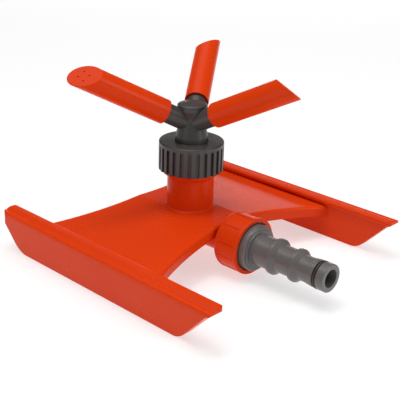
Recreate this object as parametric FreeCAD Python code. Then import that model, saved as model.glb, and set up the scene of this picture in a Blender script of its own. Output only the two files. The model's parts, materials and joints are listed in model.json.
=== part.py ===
import FreeCAD, Part
import math
import os
from FreeCAD import Vector

# Three-armed rotary lawn sprinkler on a two-skid sled. Millimetres, +Z up.
# The hose end faces -Y. Pieces are built about the rotor's upright axis and moved
# by AXIS_Y at the end, which puts the origin on the ground under the middle.

# ---- clearances
THREAD_GAP = 0.2           # radial, between a nut and the thread crests it screws on
RUNNING_GAP = 0.1          # radial, spindle in bush and tube on stub
FACE_GAP = 0.05            # axial, between stacked washers and faces
SNAP_GAP = 0.25            # around the snap bead inside a nozzle tube
ORING_GAP = 0.05           # radial, between an O-ring and the wall it wipes
PEG_GAP = 0.03             # radial, deck peg in its socket
COLLAR_GAP = 0.3           # axial, between the post's collar and the retaining nut
LIP_GAP = 0.5              # radial, between the hose nut's lip and the adapter's flange
SHOULDER_GAP = 0.5         # radial, spindle flange inside the retaining nut's step

# ---- hose thread and union nut
THREAD_DEPTH = 1.1         # both threads are drawn at their roots
NECK_THREAD_R = 13.2       # crests of a 3/4 inch pipe thread
UNION_WALL = 3.2           # union nut's bore to its front rim
UNION_RIB = 0.5
UNION_RIBS = 10
UNION_RIB_WIDE = 1.3
UNION_RIM = 2.0
UNION_LIP = 2.4
UNION_LONG = 16.5
UNION_BORE_R = NECK_THREAD_R + THREAD_GAP
UNION_R = UNION_BORE_R + UNION_WALL

# ---- heights that follow from the pipe and the union nut
NUT_OFF_GROUND = 1.4
WATERWAY_R = 8.0
PIPE_WALL = 1.8
PIPE_SINK = 0.2            # the pipe's crown lies just under the deck's top
INLET_Z = UNION_R + NUT_OFF_GROUND
PIPE_R = WATERWAY_R + PIPE_WALL
DECK_TOP = INLET_Z + PIPE_R + PIPE_SINK

# ---- skids; x is given inwards from the outside face
SKID_OUTER = 82.0          # centre line to the outside of a skid
SKID_FRONT = 93.5          # rotor axis to the front end of a skid's rail
SKID_REAR = 75.0           # rotor axis to the rear end of a skid's rail
RAIL_DROP = 2.7            # deck's level band down to the rail's top
RAIL_THICK = 2.8
RAIL_WIDE = 10.7
RAIL_BEAD_IN = 6.0         # where the rail's inner bead ends
VALLEY_IN = 3.7            # valley beside the bead, before rounding
VALLEY_DEEP = 1.7
SHOULDER = (0.6, 0.4)      # shoulder corner past the outside and above the rail, before rounding
WEB_FOOT_IN = 3.0
WEB_FOOT = 4.0             # web thickness at the ground
WEB_TOP_IN = 9.3           # web's inner face where it meets the rail
TOE_SET_FRONT = 23.0       # front end of the rail back to the ground contact, before rounding
TOE_SET_REAR = 13.0
TOE_ROUND = 13.0
RAIL_OVERHANG = 2.5        # rail end beyond the web at the front
LEDGE_DEPTH = 4.0          # shelf under the deck's edge
LEDGE_THICK = 2.2
LEDGE_PAST_WAIST = 3.5
RAIL_TOP = DECK_TOP - RAIL_DROP
RAIL_UNDER = RAIL_TOP - RAIL_THICK
RAIL_INNER = SKID_OUTER - RAIL_WIDE
WEB_TOP_INNER = SKID_OUTER - WEB_TOP_IN
WEB_FOOT_OUTER = SKID_OUTER - WEB_FOOT_IN

# ---- deck
DECK_BAND = 11.5           # half width of the level band front to back
WING_BELOW_RAIL = 1.2      # rail's inner nose down to the wing's top
DECK_SKIRT = 6.4           # height of the turned-down edge
DECK_WALL = 2.4
DECK_WAIST = 32.5          # rotor axis to the deck's edge, at the middle
DECK_CURVE_R = 178.0       # radius of the concave front and rear edges
DECK_EDGE_ROUND = 1.8
RIB_THICK = 1.8
RIB_DEPTH = 3.0
RIB_PLACES = (28.0, 44.0, 60.0)
PEG_R = 2.0
PEG_LONG = 1.6
PEG_PLACES = (-24.0, 0.0, 24.0)

# ---- spindle, post and retaining nut, from the inside out
SPINDLE_R = 7.5
SPINDLE_WALL = 2.7
SPINDLE_FLANGE_THICK = 2.0
SPINDLE_PLUG_WALL = 2.0
SPINDLE_PLUG = 6.0
SEAL_WIDE = 4.0            # radial room for the seal and the bush
SEAL_TALL = 3.4
SEAL_LIP = 1.2
BUSH_FLANGE = 1.6
THRUST_THICK = 1.4
GASKET_THICK = 1.5
POST_WALL = 2.2
POST_TALL = 30.0           # deck's level band up to the post's rim
THREAD_STEP = 1.4          # thread root past the post's plain wall
POST_THREAD_LONG = 7.0
COLLAR_TALL = 4.0          # taper under the retaining nut
COLLAR_STEP = 0.5
POST_FLOOR_WALL = 2.6
POST_FLOOR_SET = 0.4       # sump below the pipe's water way
POST_FOOT = 1.0            # small flare where the post meets the deck
SEAL_SEAT_DEEP = 18.0      # post's rim down to the step that carries the seal
NUT_WALL = 1.0
NUT_STEP = 1.8             # inner step that presses on the gasket
NUT_TALL = 17.1
NUT_ROOF = 2.6
FLUTES = 26
FLUTE_DEPTH = 1.5
FLUTE_SHARE = 0.5          # flute width over its pitch
FLUTE_LAND = 2.2           # plain rim above the flutes
NUT_EDGE = 0.7
SPINDLE_BORE_R = SPINDLE_R - SPINDLE_WALL
SPINDLE_PLUG_R = SPINDLE_BORE_R + SPINDLE_PLUG_WALL
POST_BORE_R = SPINDLE_R + SEAL_WIDE
POST_R = POST_BORE_R + POST_WALL
POST_ROOT_R = POST_R + THREAD_STEP
POST_THREAD_R = POST_ROOT_R + THREAD_DEPTH
NUT_BORE_R = POST_THREAD_R + THREAD_GAP
NUT_R = NUT_BORE_R + NUT_WALL + FLUTE_DEPTH
NUT_SHOULDER_R = POST_THREAD_R - NUT_STEP
SPINDLE_FLANGE_R = NUT_SHOULDER_R - SHOULDER_GAP
POST_RIM = DECK_TOP + POST_TALL
COLLAR_TOP = POST_RIM - POST_THREAD_LONG
SEAL_SEAT = POST_RIM - SEAL_SEAT_DEEP
SPINDLE_LOW = SEAL_SEAT + 1.5
NUT_LOW = COLLAR_TOP + COLLAR_GAP
NUT_TOP = NUT_LOW + NUT_TALL
POST_FLOOR = INLET_Z - WATERWAY_R - POST_FLOOR_SET - POST_FLOOR_WALL

# ---- rotor head
HEAD_WALL = 2.6            # around the spindle's plug
HEAD_HOLE_GAP = 0.3
HEAD_WAIST_WALL = 2.1      # around the water chamber
HEAD_WAIST_UP = 3.9        # hub to the waist
HEAD_CAP_LIP = 1.8         # cap past the waist
HEAD_CAP_TALL = 3.0        # upright edge of the cap, before rounding
HEAD_UP = 13.2             # hub to the top
HEAD_DOME = 1.3
HEAD_ROUND = 1.1
ARM_HUB_UP = 9.7           # top of the retaining nut to where the arm axes meet
ARM_HUB_Z = NUT_TOP + ARM_HUB_UP
HEAD_BASE_R = SPINDLE_PLUG_R + HEAD_WALL
HEAD_WAIST_R = SPINDLE_BORE_R + HEAD_WAIST_WALL
HEAD_CAP_R = HEAD_WAIST_R + HEAD_CAP_LIP

# ---- arms
ARM_RISE = 27.1            # degrees above level
ARM_AZIMUTH = {"left": 156.0, "front": 276.0, "rear": 36.0}
STUB_R = 5.7
STUB_WALL = 2.5
STUB_END = 37.0
STUB_CHAMFER = 0.6
STUB_BORE_R = STUB_R - STUB_WALL
TUBE_WALL = 1.4
TUBE_START = 18.8
TUBE_END = 70.9            # middle of the slanted end face
TUBE_MOUTH = 0.8           # chamfer inside the tube's mouth
TUBE_FACE_TILT = 45.0      # end face normal away from the arm axis
TUBE_FACE_TWIST = 41.0     # turned forwards in the direction of spin
TUBE_FACE_WALL = 1.6
TUBE_EDGE = 0.5
TUBE_BORE_R = STUB_R + RUNNING_GAP
TUBE_R = TUBE_BORE_R + TUBE_WALL
JET_R = 0.45
JET_SPREAD = 3.2
SNAP_BEAD = 0.3
SNAP_AT = 34.4
ORING_AT = 29.5
STUB_ORING_R = 0.75        # cord radius of the stub O-rings
STUB_ORING_MIDDLE = TUBE_BORE_R - ORING_GAP - STUB_ORING_R

# ---- hose end, along the pipe from the rotor axis; each feature follows the one before
UNION_PAST_DECK = 1.8
NECK_SHOULDER_R = 12.4
NECK_THREAD_LONG = 9.2
WASHER_THICK = 2.0
WASHER_LESS = 0.2          # washer inside the thread crests
WASHER_HOLE_R = 8.6
COLLAR_PAST_THREAD = 1.4
COLLAR_PAST_LIP = 0.7
FLANGE_LONG = 4.0          # adapter's flange past the union nut
ADAPTER_BARREL_R = 9.0
ADAPTER_BORE_R = 5.05
ADAPTER_POCKET_R = 7.6
RING_1 = (10.4, 8.0)       # crest radius, barrel radius after it
RING_2 = (9.5, 7.2)
RING_1_ON = 13.2           # flange's end to the first crest's middle
RING_2_ON = 14.5           # first crest to the second
RING_CREST = 2.0
RING_RISE = 0.7            # steep side towards the hose nut
RING_FALL = 3.0            # long side towards the tip
BAND_ON = 9.1              # second crest to the band
BAND_STEP = 0.3
BAND_LONG = 5.0
TIP_R = 7.95
TIP_LONG = 4.8
TIP_CHAMFER = 0.5
BAND_LESS = 0.15           # band's radius less than the tip's
GROOVE_WIDE = 2.6
GROOVE_DEEP = 1.65
SPIGOT_ORING_R = 0.86
SCREEN_R = 9.4
SCREEN_SEAT = 1.3
SCREEN_SHEET = 0.5
SCREEN_DOME = 3.6
SCREEN_HOLE_R = 0.55
SCREEN_RINGS = ((6, 0.29), (12, 0.57), (18, 0.85))     # holes, share of the dome's radius
UNION_BACK = DECK_WAIST + UNION_PAST_DECK
UNION_FRONT = UNION_BACK + UNION_LONG
NECK_END = UNION_BACK + NECK_THREAD_LONG
WASHER_FRONT = NECK_END + WASHER_THICK + FACE_GAP
WASHER_R = NECK_THREAD_R - WASHER_LESS
ADAPTER_COLLAR_R = NECK_THREAD_R + COLLAR_PAST_THREAD
UNION_LIP_R = ADAPTER_COLLAR_R - COLLAR_PAST_LIP
ADAPTER_FLANGE_R = UNION_LIP_R - LIP_GAP
ADAPTER_FLANGE_END = UNION_FRONT + FLANGE_LONG
RING_1_AT = ADAPTER_FLANGE_END + RING_1_ON
RING_2_AT = RING_1_AT + RING_2_ON
BAND_START = RING_2_AT + BAND_ON
GROOVE_START = BAND_START + BAND_LONG
GROOVE_END = GROOVE_START + GROOVE_WIDE
INLET_REACH = GROOVE_END + TIP_LONG
BAND_R = TIP_R - BAND_LESS
GROOVE_ROOT_R = TIP_R - GROOVE_DEEP

AXIS_Y = (INLET_REACH - SKID_REAR) / 2     # centres the whole outline on the origin

Z_AXIS = Vector(0, 0, 1)
ORIGIN = Vector(0, 0, 0)


# ---- drawing helpers
def rounded_face(corners, place):
    """Flat face through (a, b, radius) corners; place(a, b) puts a corner in space."""
    count = len(corners)
    starts, ends, middles = [], [], []
    for i, (a, b, radius) in enumerate(corners):
        here = Vector(a, b, 0)
        back = Vector(*corners[i - 1][:2], 0) - here
        ahead = Vector(*corners[(i + 1) % count][:2], 0) - here
        back.normalize()
        ahead.normalize()
        half = back.getAngle(ahead) / 2
        run = radius / math.tan(half) if radius else 0.0
        starts.append(here + back * run)
        ends.append(here + ahead * run)
        bisector = back + ahead
        if radius:
            bisector.normalize()
            middles.append(here + bisector * (radius / math.sin(half) - radius))
        else:
            middles.append(None)
    edges = []
    for i in range(count):
        if middles[i]:
            arc = [place(p.x, p.y) for p in (starts[i], middles[i], ends[i])]
            edges.append(Part.Arc(*arc).toShape())
        after = starts[(i + 1) % count]
        if (after - ends[i]).Length > 1e-6:
            edges.append(Part.makeLine(place(ends[i].x, ends[i].y), place(after.x, after.y)))
    return Part.Face(Part.Wire(edges))


def sharp(*points):
    return [(a, b, 0) for a, b in points]


def turned(corners):
    """Solid of revolution about Z from (radius, height, rounding) corners."""
    return rounded_face(corners, lambda a, b: Vector(a, 0, b)).revolve(ORIGIN, Z_AXIS, 360)


def ring(inner, outer, low, high, rounding=0.0):
    return turned([(inner, low, rounding), (outer, low, rounding),
                   (outer, high, rounding), (inner, high, rounding)])


def rod(radius, low, high):
    return Part.makeCylinder(radius, high - low, Vector(0, 0, low))


def oring(middle_radius, cord_radius, at):
    return Part.makeTorus(middle_radius, cord_radius, Vector(0, 0, at))


def fused(shapes):
    return shapes[0].multiFuse(shapes[1:]).removeSplitter()


def placed(shape, origin, x_dir, y_dir, z_dir):
    """Moves a piece rigidly so that its own axes lie along the given directions."""
    columns = (x_dir, y_dir, z_dir, origin)
    rows = [[getattr(column, axis) for column in columns] for axis in ("x", "y", "z")]
    frame = FreeCAD.Placement(FreeCAD.Matrix(*rows[0], *rows[1], *rows[2], 0, 0, 0, 1))
    moved = shape.copy()
    moved.Placement = frame.multiply(moved.Placement)
    return moved


def along_inlet(shape):
    """Turns a piece built up +Z so that it points out of the hose end."""
    return placed(shape, Vector(0, 0, INLET_Z), Vector(1, 0, 0), Z_AXIS, Vector(0, -1, 0))


def along_arm(shape, arm):
    """Turns a piece built up +Z so that it points out along one arm."""
    turn, rise = math.radians(ARM_AZIMUTH[arm]), math.radians(ARM_RISE)
    outward = Vector(math.cos(turn), math.sin(turn), 0)
    tangent = Z_AXIS.cross(outward)
    axis = outward * math.cos(rise) + Z_AXIS * math.sin(rise)
    above = Z_AXIS * math.cos(rise) - outward * math.sin(rise)
    return placed(shape, Vector(0, 0, ARM_HUB_Z), tangent, above, axis)


# ---- sled
def web_inner_x(z):
    foot = WEB_FOOT_OUTER - WEB_FOOT
    return foot + (WEB_TOP_INNER - foot) * z / RAIL_UNDER


def right_skid():
    section = [
        (web_inner_x(0), 0, 0.4),
        (WEB_FOOT_OUTER, 0, 0.4),
        (SKID_OUTER + SHOULDER[0], RAIL_TOP + SHOULDER[1], 2.0),
        (SKID_OUTER - VALLEY_IN, RAIL_TOP - VALLEY_DEEP, 1.6),
        (SKID_OUTER - RAIL_BEAD_IN, RAIL_TOP, 2.0),
        (RAIL_INNER, RAIL_TOP, 1.5),
        (RAIL_INNER, RAIL_UNDER, 0.8),
        (WEB_TOP_INNER, RAIL_UNDER, 0.3)]
    bar = rounded_face(section, lambda a, b: Vector(a, -SKID_FRONT, b)).extrude(
        Vector(0, SKID_FRONT + SKID_REAR, 0))
    web_front = SKID_FRONT - RAIL_OVERHANG
    crown = RAIL_TOP + SHOULDER[1]
    side = [
        (-SKID_FRONT, crown, 1.8),
        (-SKID_FRONT, RAIL_UNDER - 0.2, 1.0),
        (-web_front, RAIL_UNDER - 0.9, 2.0),
        (TOE_SET_FRONT - SKID_FRONT, 0, TOE_ROUND),
        (SKID_REAR - TOE_SET_REAR, 0, TOE_ROUND),
        (SKID_REAR, RAIL_UNDER - 2.2, 4.5),
        (SKID_REAR, crown, 2.2)]
    outline = rounded_face(side, lambda a, b: Vector(RAIL_INNER - 5, a, b)).extrude(
        Vector(SKID_OUTER - RAIL_INNER + 10, 0, 0))
    plan = [
        (RAIL_INNER - 0.02, -SKID_FRONT, 3.0),
        (SKID_OUTER, -SKID_FRONT, 1.5),
        (SKID_OUTER, SKID_REAR, 5.0),
        (RAIL_INNER - 0.02, SKID_REAR, 4.5)]
    footprint = rounded_face(plan, lambda a, b: Vector(a, b, -1)).extrude(
        Vector(0, 0, crown + 2))
    skid = bar.common(outline).common(footprint)
    shelf_top = deck_edge_top() - DECK_SKIRT - FACE_GAP
    shelf_low = shelf_top - LEDGE_THICK
    shelf = sharp((web_inner_x(shelf_top) - LEDGE_DEPTH, shelf_top),
                  (web_inner_x(shelf_low) - LEDGE_DEPTH, shelf_low + 0.8),
                  (web_inner_x(shelf_low) + 0.5, shelf_low - 1.2),
                  (web_inner_x(shelf_top) + 0.5, shelf_top))
    reach = DECK_WAIST + LEDGE_PAST_WAIST
    ledge = rounded_face(shelf, lambda a, b: Vector(a, -reach, b)).extrude(
        Vector(0, 2 * reach, 0))
    skid = fused([skid, ledge])
    for y in PEG_PLACES:
        skid = skid.cut(peg(y, PEG_R + PEG_GAP, PEG_LONG + PEG_GAP))
    return skid


def peg_height():
    return deck_edge_top() - DECK_SKIRT / 2


def peg(y, radius, length):
    """A stub on the deck's right edge that locates the skid."""
    start = web_inner_x(peg_height()) - DECK_WALL / 2
    return Part.makeCylinder(radius, length + DECK_WALL / 2, Vector(start, y, peg_height()),
                             Vector(1, 0, 0))


def mirrored(shape):
    return shape.mirror(ORIGIN, Vector(1, 0, 0))


def deck_edge(x, inset):
    """How far the deck's concave edge lies from the rotor axis at x."""
    return DECK_WAIST - inset + DECK_CURVE_R - math.sqrt(DECK_CURVE_R ** 2 - x ** 2)


def deck_plan(half, inset, low, high):
    """Hourglass prism with concave front and rear edges."""
    reach = deck_edge(half, inset)
    waist = deck_edge(0, inset)
    front = Part.Arc(Vector(-half, -reach, low), Vector(0, -waist, low),
                     Vector(half, -reach, low)).toShape()
    right = Part.makeLine(Vector(half, -reach, low), Vector(half, reach, low))
    rear = Part.Arc(Vector(half, reach, low), Vector(0, waist, low),
                    Vector(-half, reach, low)).toShape()
    left = Part.makeLine(Vector(-half, reach, low), Vector(-half, -reach, low))
    return Part.Face(Part.Wire([front, right, rear, left])).extrude(Vector(0, 0, high - low))


def wing_slope():
    """The wing's top passes below the inner nose of the skid's rail."""
    return (DECK_TOP - RAIL_UNDER + WING_BELOW_RAIL) / (RAIL_INNER - DECK_BAND)


def wing_drop(x):
    """Fall of the deck's top below its level band at x."""
    return max(0.0, abs(x) - DECK_BAND) * wing_slope()


def deck_edge_top():
    """Height at which the wing's top meets the skid's web."""
    lean = web_inner_x(1) - web_inner_x(0)
    return (DECK_TOP - wing_drop(web_inner_x(0))) / (1 + lean * wing_slope())


def deck_slab(top_shift, low_shift, top_half, low_half, length):
    """Roof-shaped slab between two copies of the deck's top surface."""
    outline = []
    for half, shift in ((top_half, top_shift), (low_half, low_shift)):
        level = [(x, DECK_TOP - wing_drop(x) - shift)
                 for x in (-half, -DECK_BAND, DECK_BAND, half)]
        outline += level if shift == top_shift else level[::-1]
    face = rounded_face(sharp(*outline), lambda a, b: Vector(a, -length, b))
    return face.extrude(Vector(0, 2 * length, 0))


def deck_shell():
    top_half = web_inner_x(deck_edge_top())
    low_half = web_inner_x(deck_edge_top() - DECK_SKIRT)
    length = deck_edge(top_half, 0) + 5
    slab = deck_slab(0, DECK_SKIRT, top_half, low_half, length)
    body = slab.common(deck_plan(top_half + 1, 0, 0, DECK_TOP + 5))
    top_edges = [edge for edge in body.Edges if is_deck_top_edge(edge)]
    body = body.makeFillet(DECK_EDGE_ROUND, top_edges)
    inner_half = low_half - DECK_WALL
    hollow = deck_slab(DECK_WALL, DECK_SKIRT + 5, inner_half, inner_half, length)
    return body.cut(hollow.common(deck_plan(inner_half, DECK_WALL, 0, DECK_TOP + 5)))


def is_deck_top_edge(edge):
    """True for the curved edges where the deck's top turns down to its skirt."""
    ends = [vertex.Point for vertex in edge.Vertexes]
    if len(ends) != 2 or abs(ends[0].x - ends[1].x) < 1:
        return False
    on_top = all(abs(p.z - (DECK_TOP - wing_drop(p.x))) < 0.01 for p in ends)
    on_edge = all(abs(abs(p.y) - deck_edge(p.x, 0)) < 0.01 for p in ends)
    return on_top and on_edge and ends[0].y * ends[1].y > 0


def deck_ribs():
    ribs = []
    for x in RIB_PLACES:
        reach = deck_edge(x, DECK_WALL / 2)
        top = DECK_TOP - wing_drop(x + RIB_THICK) - DECK_WALL / 2
        for side in (-1, 1):
            ribs.append(Part.makeBox(RIB_THICK, 2 * reach, RIB_DEPTH + DECK_WALL / 2,
                                     Vector(side * x - RIB_THICK / 2, -reach,
                                            top - RIB_DEPTH - DECK_WALL / 2)))
    return ribs


def base_deck():
    body = [deck_shell()] + deck_ribs()
    foot, collar = POST_R + POST_FOOT, POST_THREAD_R + COLLAR_STEP
    neck_root = NECK_THREAD_R - THREAD_DEPTH
    post = turned([
        (0, POST_FLOOR, 0), (POST_R, POST_FLOOR, 2.0), (POST_R, DECK_TOP - 1.4, 0),
        (foot, DECK_TOP - 1.4, 0), (foot, DECK_TOP + 0.1, 0.4), (POST_R, DECK_TOP + 1.2, 0.5),
        (POST_R, COLLAR_TOP - COLLAR_TALL, 1.0), (collar, COLLAR_TOP - 1.2, 0.8),
        (collar, COLLAR_TOP, 0.4), (POST_ROOT_R, COLLAR_TOP, 0), (POST_ROOT_R, POST_RIM, 0.4),
        (0, POST_RIM, 0)])
    pipe = turned([
        (0, 0, 0), (PIPE_R, 0, 0), (PIPE_R, deck_edge(0, DECK_WALL / 2), 0),
        (NECK_SHOULDER_R, deck_edge(0, 0) + 0.4, 0.5),
        (NECK_SHOULDER_R, UNION_BACK + 0.8, 0), (neck_root, UNION_BACK + 1.8, 0),
        (neck_root, NECK_END, 0.4), (0, NECK_END, 0)])
    solid = fused(body + [post, along_inlet(pipe)])
    for y in PEG_PLACES:
        right = peg(y, PEG_R, PEG_LONG)
        solid = fused([solid, right, mirrored(right)])
    bore = fused([rod(POST_BORE_R, SEAL_SEAT, POST_RIM + 1),
                  rod(WATERWAY_R, POST_FLOOR + POST_FLOOR_WALL, SEAL_SEAT + 1)])
    channel = along_inlet(rod(WATERWAY_R, 0, NECK_END + 1))
    return solid.cut(bore).cut(channel).removeSplitter()


# ---- retaining nut and the stack inside it
def shoulder_z():
    return POST_RIM + GASKET_THICK + 2 * FACE_GAP


def roof_z():
    return NUT_TOP - NUT_ROOF


def flange_top():
    return roof_z() - THRUST_THICK - 2 * FACE_GAP


def retaining_nut():
    hole = HEAD_BASE_R + HEAD_HOLE_GAP
    nut = turned([
        (NUT_BORE_R, NUT_LOW, 0.3), (NUT_R, NUT_LOW, 0.3), (NUT_R, NUT_TOP, NUT_EDGE),
        (hole, NUT_TOP, 0.3), (hole, roof_z(), 0), (NUT_SHOULDER_R, roof_z(), 0),
        (NUT_SHOULDER_R, shoulder_z(), 0), (NUT_BORE_R, shoulder_z(), 0)])
    wide = FLUTE_SHARE * 2 * math.pi * NUT_R / FLUTES
    top = NUT_TOP - FLUTE_LAND
    outline = [(-wide / 2, NUT_LOW - 1, 0), (wide / 2, NUT_LOW - 1, 0),
               (wide / 2, top, wide / 2 - 0.01), (-wide / 2, top, wide / 2 - 0.01)]
    flute = rounded_face(outline, lambda a, b: Vector(NUT_R - FLUTE_DEPTH, a, b)).extrude(
        Vector(FLUTE_DEPTH + 1, 0, 0))
    cutters = []
    for i in range(FLUTES):
        cutter = flute.copy()
        cutter.rotate(ORIGIN, Z_AXIS, i * 360 / FLUTES)
        cutters.append(cutter)
    return nut.cut(Part.makeCompound(cutters))


def post_gasket():
    return ring(POST_BORE_R, POST_THREAD_R - FACE_GAP, POST_RIM + FACE_GAP,
                POST_RIM + FACE_GAP + GASKET_THICK, 0.2)


def thrust_washer():
    low = flange_top() + FACE_GAP
    return ring(HEAD_BASE_R + HEAD_HOLE_GAP, SPINDLE_FLANGE_R, low, low + THRUST_THICK, 0.15)


def spindle():
    under = flange_top() - SPINDLE_FLANGE_THICK
    return turned([
        (SPINDLE_BORE_R, SPINDLE_LOW, 0.3), (SPINDLE_R, SPINDLE_LOW, 0.6),
        (SPINDLE_R, under, 0.3), (SPINDLE_FLANGE_R, under, 0.3),
        (SPINDLE_FLANGE_R, flange_top(), 0.3), (SPINDLE_PLUG_R, flange_top(), 0),
        (SPINDLE_PLUG_R, flange_top() + SPINDLE_PLUG, 0.4),
        (SPINDLE_BORE_R, flange_top() + SPINDLE_PLUG, 0)])


def spindle_seal():
    """Cup seal: a U section with its mouth facing the water."""
    low, high = SEAL_SEAT + FACE_GAP, SEAL_SEAT + FACE_GAP + SEAL_TALL
    inner, outer = SPINDLE_R + ORING_GAP, POST_BORE_R - ORING_GAP
    return turned([
        (inner, low, 0.3), (inner + SEAL_LIP, low, 0.3), (inner + SEAL_LIP, high - 1.4, 0.5),
        (outer - SEAL_LIP, high - 1.4, 0.5), (outer - SEAL_LIP, low, 0.3), (outer, low, 0.3),
        (outer, high, 0.2), (inner, high, 0.2)])


def spindle_bush():
    low = SEAL_SEAT + SEAL_TALL + 2 * FACE_GAP
    return ring(SPINDLE_R + RUNNING_GAP, POST_BORE_R - FACE_GAP, low, POST_RIM - BUSH_FLANGE, 0.3)


# ---- rotor
def stub():
    """One hollow arm stub up +Z, with its O-ring groove and snap bead."""
    groove_low, groove_high = ORING_AT - 1.0, ORING_AT + 1.0
    root = STUB_ORING_MIDDLE - STUB_ORING_R - FACE_GAP / 2
    return turned([
        (0, 0, 0), (STUB_R, 0, 0), (STUB_R, groove_low, 0), (root, groove_low, 0),
        (root, groove_high, 0), (STUB_R, groove_high, 0), (STUB_R, SNAP_AT - 0.9, 0),
        (STUB_R + SNAP_BEAD, SNAP_AT - 0.4, 0), (STUB_R + SNAP_BEAD, SNAP_AT, 0),
        (STUB_R - 0.1, SNAP_AT + 1.2, 0), (STUB_R - STUB_CHAMFER, STUB_END, 0),
        (0, STUB_END, 0)])


def rotor_head():
    head_top = ARM_HUB_Z + HEAD_UP
    cap_edge = head_top - HEAD_DOME
    body = turned([
        (0, flange_top() + FACE_GAP, 0), (HEAD_BASE_R, flange_top() + FACE_GAP, 0.3),
        (HEAD_BASE_R, NUT_TOP + 3.0, 4.0), (HEAD_WAIST_R, ARM_HUB_Z + HEAD_WAIST_UP, 5.0),
        (HEAD_CAP_R, cap_edge - HEAD_CAP_TALL, 1.0), (HEAD_CAP_R, cap_edge, HEAD_ROUND),
        (HEAD_CAP_R * 0.6, head_top - HEAD_DOME * 0.3, 8.0), (0, head_top, 0)])
    stubs = [along_arm(stub(), arm) for arm in ARM_AZIMUTH]
    head = fused([body] + stubs)
    cavity = rod(SPINDLE_BORE_R, flange_top(), ARM_HUB_Z + 5)
    socket = rod(SPINDLE_PLUG_R + FACE_GAP, flange_top() - 1, flange_top() + SPINDLE_PLUG + 0.3)
    bores = [along_arm(rod(STUB_BORE_R, 0, STUB_END + 1), arm) for arm in ARM_AZIMUTH]
    return head.cut(fused([cavity, socket] + bores))


def stub_oring(arm):
    return along_arm(oring(STUB_ORING_MIDDLE, STUB_ORING_R, ORING_AT), arm)


def face_normal():
    tilt, twist = math.radians(TUBE_FACE_TILT), math.radians(TUBE_FACE_TWIST)
    return Vector(math.sin(tilt) * math.sin(twist), math.sin(tilt) * math.cos(twist),
                  math.cos(tilt))


def beyond_face(back):
    """Everything past the slanted end face, moved back by a distance."""
    normal = face_normal()
    middle = Vector(0, 0, TUBE_END) - normal * back
    return Part.makeCylinder(4 * TUBE_R, 4 * TUBE_R, middle, normal)


def nozzle_tube(arm):
    """Capped tube with a slanted face and four jets, pushed over its stub."""
    outer = rod(TUBE_R, TUBE_START, TUBE_END + 2 * TUBE_R).cut(beyond_face(0))
    rims = [edge for edge in outer.Edges if edge.Closed or len(edge.Vertexes) == 1]
    outer = outer.makeFillet(TUBE_EDGE, rims)
    groove = STUB_R + SNAP_BEAD + SNAP_GAP
    inner = turned([
        (0, TUBE_START - 1, 0), (TUBE_BORE_R + TUBE_MOUTH, TUBE_START - 1, 0),
        (TUBE_BORE_R + TUBE_MOUTH, TUBE_START, 0), (TUBE_BORE_R, TUBE_START + TUBE_MOUTH, 0),
        (TUBE_BORE_R, SNAP_AT - 1.4, 0), (groove, SNAP_AT - 0.8, 0), (groove, SNAP_AT + 0.5, 0),
        (TUBE_BORE_R, SNAP_AT + 1.6, 0), (TUBE_BORE_R, TUBE_END + 2 * TUBE_R, 0),
        (0, TUBE_END + 2 * TUBE_R, 0)]).cut(beyond_face(TUBE_FACE_WALL))
    tube = outer.cut(inner)
    normal = face_normal()
    across = Vector(0, 0, 1).cross(normal)
    across.normalize()
    along = normal.cross(across)
    for side, up in ((1, 0), (-1, 0), (0, 1), (0, -1)):
        spot = Vector(0, 0, TUBE_END) + (across * side + along * up) * JET_SPREAD
        tube = tube.cut(Part.makeCylinder(JET_R, 4 * TUBE_FACE_WALL,
                                          spot - normal * 2 * TUBE_FACE_WALL, normal))
    return along_arm(tube, arm)


# ---- hose end
def union_nut():
    barrel = UNION_R - UNION_RIB
    pocket = ADAPTER_COLLAR_R + THREAD_GAP
    lip = UNION_FRONT - UNION_LIP
    nut = turned([
        (UNION_BORE_R, UNION_BACK, 0.3), (UNION_R - 0.1, UNION_BACK, 2.2),
        (UNION_R - 0.1, UNION_BACK + 2.6, 0), (barrel, UNION_BACK + 3.0, 0),
        (barrel, UNION_FRONT - UNION_RIM - 0.4, 0), (UNION_R, UNION_FRONT - UNION_RIM, 0.2),
        (UNION_R, UNION_FRONT, 0.7), (UNION_LIP_R, UNION_FRONT, 0.7), (UNION_LIP_R, lip, 0),
        (pocket, lip, 0), (pocket, WASHER_FRONT - 1.6, 0), (UNION_BORE_R, WASHER_FRONT - 2.8, 0)])
    bar = Part.makeBox(UNION_RIB + 0.5, UNION_RIB_WIDE, UNION_FRONT - UNION_BACK - 3.2,
                       Vector(barrel - 0.5, -UNION_RIB_WIDE / 2, UNION_BACK + 2.2))
    ribs = []
    for i in range(UNION_RIBS):
        rib = bar.copy()
        rib.rotate(ORIGIN, Z_AXIS, (i + 0.5) * 360 / UNION_RIBS)
        ribs.append(rib)
    trimmed = Part.makeCompound(ribs).common(rod(UNION_R - 0.15, UNION_BACK, UNION_FRONT))
    return along_inlet(fused([nut] + trimmed.Solids))


def inlet_washer():
    return along_inlet(ring(WASHER_HOLE_R, WASHER_R, NECK_END + FACE_GAP, WASHER_FRONT, 0.2))


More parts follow.
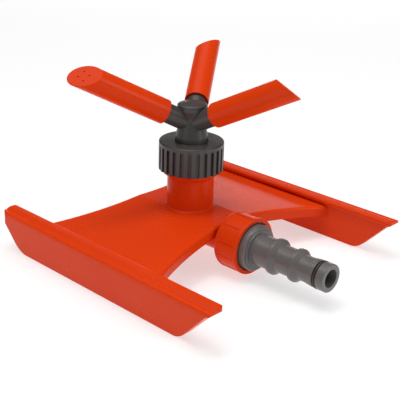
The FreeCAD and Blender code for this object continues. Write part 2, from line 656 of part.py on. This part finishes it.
def filter_screen():
    """Rimmed dome with rings of small holes, held behind the washer."""
    low = WASHER_FRONT + FACE_GAP
    dome_r = ADAPTER_POCKET_R - 0.4
    rim = ring(dome_r - 0.6, SCREEN_R - FACE_GAP, low, low + SCREEN_SEAT - 2 * FACE_GAP)
    radius = (dome_r ** 2 + SCREEN_DOME ** 2) / (2 * SCREEN_DOME)
    middle = Vector(0, 0, low + SCREEN_DOME - radius)
    ball = Part.makeSphere(radius, middle).cut(Part.makeSphere(radius - SCREEN_SHEET, middle))
    dome = ball.common(rod(dome_r, low, low + SCREEN_DOME + 1))
    screen = fused([rim, dome])
    holes = [Part.makeCylinder(SCREEN_HOLE_R, SCREEN_DOME + 2, Vector(0, 0, low - 0.5))]
    for count, at in SCREEN_RINGS:
        for i in range(count):
            turn = 2 * math.pi * i / count
            spot = Vector(at * dome_r * math.cos(turn), at * dome_r * math.sin(turn), low - 0.5)
            holes.append(Part.makeCylinder(SCREEN_HOLE_R, SCREEN_DOME + 2, spot))
    return along_inlet(screen.cut(Part.makeCompound(holes)))


def latch_ring(at, before, crest, after):
    """Corners of one raised ring on the spigot, from hose nut to tip."""
    half = RING_CREST / 2
    return [(before, at - half - RING_RISE, 0.3), (crest, at - half, 0.5),
            (crest, at + half, 0.5), (after, at + half + RING_FALL, 0.4)]


def inlet_adapter():
    back = WASHER_FRONT + FACE_GAP
    collar_front = UNION_FRONT - UNION_LIP - FACE_GAP
    outside = [
        (ADAPTER_COLLAR_R, back, 0.2), (ADAPTER_COLLAR_R, collar_front, 0),
        (ADAPTER_FLANGE_R, collar_front, 0), (ADAPTER_FLANGE_R, ADAPTER_FLANGE_END, 1.3),
        (ADAPTER_FLANGE_R - 2.0, ADAPTER_FLANGE_END, 0.2),
        (ADAPTER_FLANGE_R - 2.2, ADAPTER_FLANGE_END + 0.6, 0.25),
        (ADAPTER_BARREL_R, ADAPTER_FLANGE_END + 0.7, 0.5)]
    outside += latch_ring(RING_1_AT, ADAPTER_BARREL_R, *RING_1)
    outside += latch_ring(RING_2_AT, RING_1[1], *RING_2)
    outside += [
        (RING_2[1], BAND_START, 0), (BAND_R - BAND_STEP, BAND_START + 0.5, 0.1),
        (BAND_R - BAND_STEP, BAND_START + 2.0, 0.1), (BAND_R, BAND_START + 2.6, 0.2),
        (BAND_R, GROOVE_START, 0),
        (GROOVE_ROOT_R, GROOVE_START, 0), (GROOVE_ROOT_R, GROOVE_END, 0),
        (TIP_R, GROOVE_END, 0), (TIP_R, INLET_REACH, TIP_CHAMFER),
        (ADAPTER_BORE_R, INLET_REACH, 0.4)]
    inside = [
        (ADAPTER_BORE_R, ADAPTER_FLANGE_END + 3, 0), (ADAPTER_POCKET_R, ADAPTER_FLANGE_END, 0),
        (ADAPTER_POCKET_R, back + SCREEN_SEAT, 0), (SCREEN_R, back + SCREEN_SEAT, 0),
        (SCREEN_R, back, 0)]
    return along_inlet(turned(outside + inside))


def spigot_oring():
    return along_inlet(oring(GROOVE_ROOT_R + SPIGOT_ORING_R + 0.02, SPIGOT_ORING_R,
                             GROOVE_START + GROOVE_WIDE / 2))


# ---- assembly
def build_parts():
    skid = right_skid()
    parts = {
        "base_deck": base_deck(),
        "right_skid": skid,
        "left_skid": mirrored(skid),
        "retaining_nut": retaining_nut(),
        "post_gasket": post_gasket(),
        "thrust_washer": thrust_washer(),
        "spindle": spindle(),
        "spindle_seal": spindle_seal(),
        "spindle_bush": spindle_bush(),
        "rotor_head": rotor_head(),
        "union_nut": union_nut(),
        "inlet_washer": inlet_washer(),
        "filter_screen": filter_screen(),
        "inlet_adapter": inlet_adapter(),
        "spigot_oring": spigot_oring()}
    for arm in ARM_AZIMUTH:
        parts["nozzle_tube_" + arm] = nozzle_tube(arm)
        parts["stub_oring_" + arm] = stub_oring(arm)
    return parts


def main():
    os.makedirs("parts", exist_ok=True)
    for name, shape in build_parts().items():
        shape.translate(Vector(0, AXIS_Y, 0))
        box = shape.BoundBox
        print("%-20s solids %d valid %s volume %9.1f  x %7.2f %7.2f  y %7.2f %7.2f  z %7.2f %7.2f" % (
            name, len(shape.Solids), shape.isValid(), shape.Volume, box.XMin, box.XMax,
            box.YMin, box.YMax, box.ZMin, box.ZMax))
        shape.exportStep("parts/%s.step" % name)


main()
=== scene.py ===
import json
import math
import bmesh
import bpy
from mathutils import Matrix, Vector

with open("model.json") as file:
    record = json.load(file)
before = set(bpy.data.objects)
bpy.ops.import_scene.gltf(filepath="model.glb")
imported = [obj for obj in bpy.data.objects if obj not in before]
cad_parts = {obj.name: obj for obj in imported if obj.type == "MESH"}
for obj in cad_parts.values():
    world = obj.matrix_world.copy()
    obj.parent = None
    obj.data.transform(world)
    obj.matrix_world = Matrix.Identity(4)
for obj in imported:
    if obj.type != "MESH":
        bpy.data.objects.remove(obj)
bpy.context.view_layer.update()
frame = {"nodes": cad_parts, "record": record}

MM = 0.001

# ---- camera: places in metres, angles in degrees, the lens in millimetres
LOOK_AT = Vector((-0.010, -0.003, 0.039))
LOOK_FROM = 0.500
AZIMUTH = -46.8
ELEVATION = 22.3
ROLL = 1.8
FOCAL = 79.0
SENSOR_WIDTH = 36
NEAREST_SEEN = 0.01

# ---- studio: sizes in metres, angles in degrees
FLOOR_HALF = 6
FLOOR_GREY = 0.50
FLOOR_GLOW = 0.56
AIR_GLOW = 0.06
SKY_FROM = Vector((-0.12, 0.10, 1.0))
SKY_POWER = 1.7
SKY_SPREAD = 70
LIT_POINT = Vector((0, 0, 0.04))
# each softbox: where it hangs, its width and height, and its power in watts
SOFTBOXES = {
    "overhead_softbox": ((-0.15, 0.05, 0.95), (0.20, 0.40), 2.2),
    "left_softbox": ((-0.75, 0.10, 0.42), (0.08, 0.50), 0.6),
    "front_softbox": ((0.30, -0.80, 0.40), (0.30, 0.40), 2.4),
    "right_back_card": ((0.95, 0.80, 0.17), (1.2, 0.16), 1.4),
}


# ---- finishes
class Value:
    """A shader socket that takes part in sums: 0.3 + grain * 0.2."""

    def __init__(self, finish, socket):
        self.finish = finish
        self.socket = socket

    def combine(self, operation, other):
        return self.finish.node("ShaderNodeMath", {"operation": operation}, {0: self, 1: other})

    def __add__(self, other):
        return self.combine("ADD", other)

    def __mul__(self, other):
        return self.combine("MULTIPLY", other)

    __radd__ = __add__
    __rmul__ = __mul__


class Finish:
    """One material: a Principled shader and the nodes behind it."""

    def __init__(self, name, **constants):
        self.material = bpy.data.materials.new(name)
        self.material.use_nodes = True
        self.nodes = self.material.node_tree.nodes
        self.links = self.material.node_tree.links
        self.shader = self.nodes["Principled BSDF"]
        self.varies(**constants)

    def node(self, kind, settings, sockets, out=0):
        """Adds a node: its settings first, then its sockets, by name or by place."""
        new = self.nodes.new(kind)
        for key, value in settings.items():
            setattr(new, key, value)
        for key, value in sockets.items():
            self.plug(new.inputs[key], value)
        return Value(self, new.outputs[out])

    def plug(self, socket, value):
        if isinstance(value, Value):
            self.links.new(value.socket, socket)
        else:
            socket.default_value = value

    def noise(self, per_metre, detail=2):
        """Soft noise fixed to the piece, about so many spots to the metre."""
        place = self.node("ShaderNodeTexCoord", {}, {}, out="Object")
        return self.node("ShaderNodeTexNoise", {}, {
            "Vector": place, "Scale": per_metre, "Detail": detail}, out="Fac")

    def mix(self, factor, first, second):
        """Colour mix; 6, 7 and 2 are the places of the node's colour sockets."""
        return self.node("ShaderNodeMix", {"data_type": "RGBA"}, {0: factor, 6: first, 7: second},
                         out=2)

    def bump(self, height, depth, strength):
        return self.node("ShaderNodeBump", {}, {
            "Height": height, "Distance": depth, "Strength": strength})

    def varies(self, **sockets):
        """Sets the shader's own sockets; Base_Color stands for Base Color."""
        for socket, value in sockets.items():
            self.plug(self.shader.inputs[socket.replace("_", " ")], value)
        return self.material


def orange_plastic():
    bright, deep = (0.78, 0.053, 0.0045, 1), (0.73, 0.045, 0.0035, 1)
    finish = Finish("orange_plastic", IOR=1.49, Specular_IOR_Level=0.10)
    cloud = finish.noise(per_metre=35, detail=3)
    fine = finish.noise(per_metre=900)
    ripple = finish.noise(per_metre=120)
    return finish.varies(Base_Color=finish.mix(cloud, bright, deep),
                         Roughness=0.24 + cloud * 0.05 + fine * 0.03,
                         Normal=finish.bump(ripple, depth=0.03 * MM, strength=0.12))


def satin_grey(name, light, dark, roughness):
    finish = Finish(name, IOR=1.47, Specular_IOR_Level=0.5)
    cloud = finish.noise(per_metre=60, detail=3)
    grain = finish.noise(per_metre=2600)
    return finish.varies(Base_Color=finish.mix(cloud, light, dark),
                         Roughness=roughness + grain * 0.08,
                         Normal=finish.bump(grain, depth=0.01 * MM, strength=0.3))


def grey_plastic():
    light, dark = (0.150, 0.141, 0.135, 1), (0.130, 0.122, 0.117, 1)
    return satin_grey("grey_plastic", light, dark, roughness=0.22)


def dark_grey_plastic():
    light, dark = (0.064, 0.059, 0.055, 1), (0.054, 0.050, 0.047, 1)
    return satin_grey("dark_grey_plastic", light, dark, roughness=0.33)


def black_rubber():
    black, dusty = (0.016, 0.016, 0.017, 1), (0.03, 0.03, 0.03, 1)
    finish = Finish("black_rubber", IOR=1.5)
    bloom = finish.noise(per_metre=400, detail=3)
    grain = finish.noise(per_metre=3000)
    return finish.varies(Base_Color=finish.mix(bloom, black, dusty),
                         Roughness=0.42 + bloom * 0.2,
                         Normal=finish.bump(grain, depth=0.01 * MM, strength=0.4))


def white_acetal():
    white, ivory = (0.80, 0.79, 0.75, 1), (0.74, 0.73, 0.69, 1)
    finish = Finish("white_acetal", IOR=1.48, Subsurface_Weight=0.1)
    cloud = finish.noise(per_metre=700, detail=1)
    return finish.varies(Base_Color=finish.mix(cloud, white, ivory),
                         Roughness=0.3 + cloud * 0.1,
                         Normal=finish.bump(cloud, depth=0.01 * MM, strength=0.3))


def screen_mesh():
    pale, shaded = (0.62, 0.60, 0.55, 1), (0.5, 0.49, 0.45, 1)
    finish = Finish("screen_mesh", IOR=1.48)
    cloud = finish.noise(per_metre=500)
    return finish.varies(Base_Color=finish.mix(cloud, pale, shaded),
                         Roughness=0.45 + cloud * 0.1,
                         Normal=finish.bump(cloud, depth=0.02 * MM, strength=0.3))


FINISHES = {make.__name__: make() for make in
            (orange_plastic, grey_plastic, dark_grey_plastic, black_rubber, white_acetal,
             screen_mesh)}
SLOT_OF = {part["node"]: part["material_slot"] for part in frame["record"]["subparts"]}


def finish_cad_nodes():
    for name, node in frame["nodes"].items():
        node.data.materials.clear()
        node.data.materials.append(FINISHES[SLOT_OF[name]])


# ---- studio
def hang(name, thing, turn):
    """Puts a lamp or camera in the scene, turned by a rotation; it looks along its own -Z."""
    holder = bpy.data.objects.new(name, thing)
    holder.rotation_euler = turn.to_euler()
    bpy.context.scene.collection.objects.link(holder)
    return holder


def studio_floor():
    shape = bmesh.new()
    bmesh.ops.create_grid(shape, x_segments=1, y_segments=1, size=FLOOR_HALF)
    mesh = bpy.data.meshes.new("studio_floor")
    shape.to_mesh(mesh)
    shape.free()
    floor = bpy.data.objects.new("studio_floor", mesh)
    bpy.context.scene.collection.objects.link(floor)
    paper = Finish("studio_paper", Base_Color=(FLOOR_GREY, FLOOR_GREY, FLOOR_GREY, 1),
                   Roughness=0.9, Emission_Color=(1, 1, 1, 1), Emission_Strength=FLOOR_GLOW)
    mesh.materials.append(paper.material)


def studio_air():
    world = bpy.data.worlds.new("studio_air")
    world.use_nodes = True
    air = world.node_tree.nodes["Background"]
    air.inputs["Color"].default_value = (1, 1, 1, 1)
    air.inputs["Strength"].default_value = AIR_GLOW
    bpy.context.scene.world = world


def overhead_key():
    key = bpy.data.lights.new("overhead_key", "SUN")
    key.energy = SKY_POWER
    key.angle = math.radians(SKY_SPREAD)
    hang("overhead_key", key, SKY_FROM.to_track_quat("Z", "Y"))


def softbox(name, place, size, power):
    lamp = bpy.data.lights.new(name, "AREA")
    lamp.shape = "RECTANGLE"
    lamp.size, lamp.size_y = size
    lamp.energy = power
    holder = hang(name, lamp, (LIT_POINT - Vector(place)).to_track_quat("-Z", "Y"))
    holder.location = place


def studio_lights():
    studio_air()
    overhead_key()
    for name, (place, size, power) in SOFTBOXES.items():
        softbox(name, place, size, power)
    bpy.context.scene.view_settings.view_transform = "Standard"


def studio_camera():
    lens = bpy.data.cameras.new("studio_camera")
    lens.lens = FOCAL
    lens.sensor_width = SENSOR_WIDTH
    lens.clip_start = NEAREST_SEEN
    around, lift = math.radians(AZIMUTH), math.radians(ELEVATION)
    back = Vector((math.sin(around) * math.cos(lift), -math.cos(around) * math.cos(lift),
                   math.sin(lift)))
    roll = Matrix.Rotation(math.radians(ROLL), 3, "Z")
    camera = hang("studio_camera", lens, back.to_track_quat("Z", "Y").to_matrix() @ roll)
    camera.location = LOOK_AT + back * LOOK_FROM
    bpy.context.scene.camera = camera


finish_cad_nodes()
studio_floor()
studio_lights()
studio_camera()
